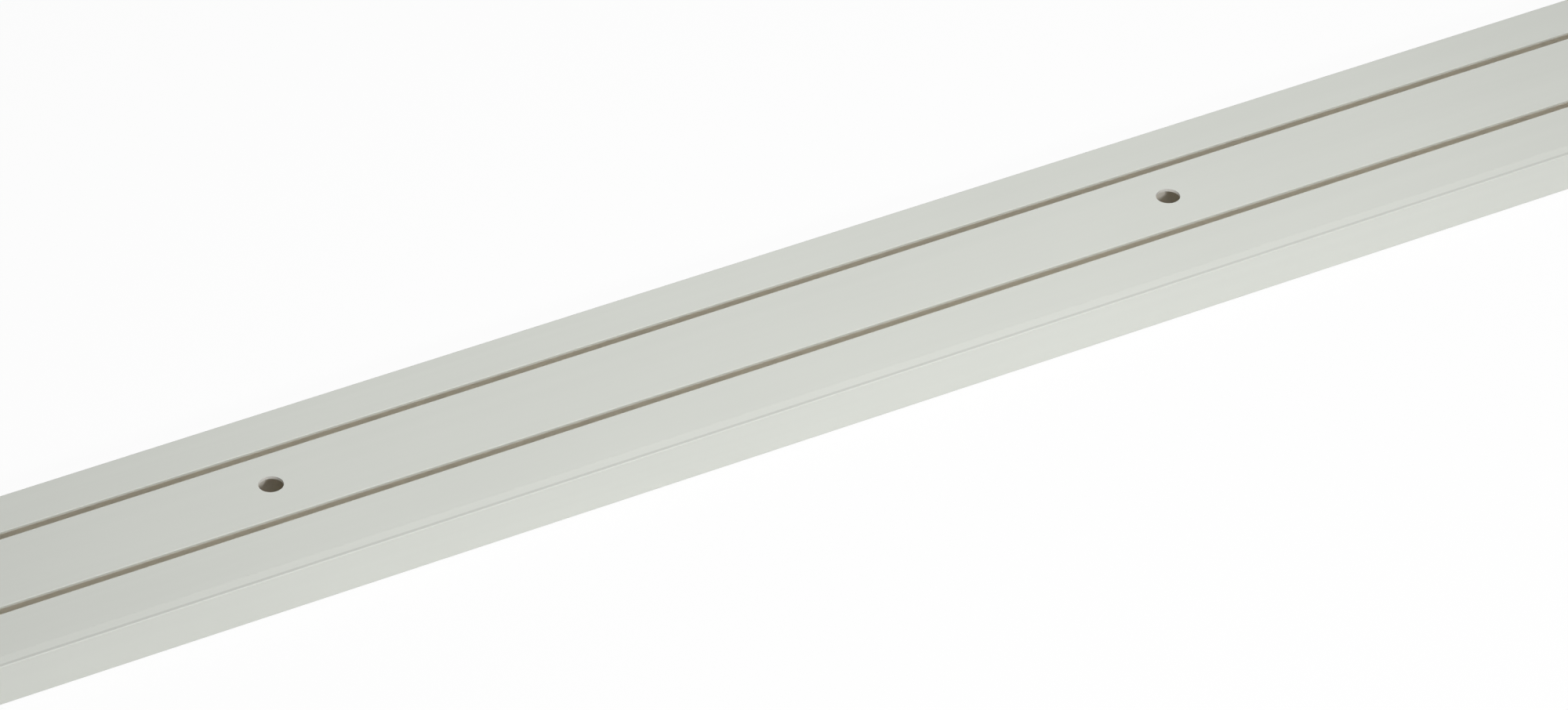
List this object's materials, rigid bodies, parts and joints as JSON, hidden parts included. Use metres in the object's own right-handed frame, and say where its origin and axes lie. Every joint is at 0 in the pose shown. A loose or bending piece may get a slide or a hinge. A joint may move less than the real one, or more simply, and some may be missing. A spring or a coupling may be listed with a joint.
{
  "type": "curtain track",
  "caption": "Straight hollow ceiling curtain track in white PVC: parallel glider channels open through narrow slots in its face, and a row of stepped screw holes between them.",
  "frame": {"origin": "middle of the flat back face, the one that goes against the ceiling", "axes": "+X along the track, -Y out of the front edge, +Z out of the slotted face"},
  "size_m": [1.2, 0.0716, 0.0133],
  "materials": {
    "white_pvc": "satin white PVC"
  },
  "bodies": {
    "root": {"track_profile": "white_pvc"}
  },
  "joints": []
}
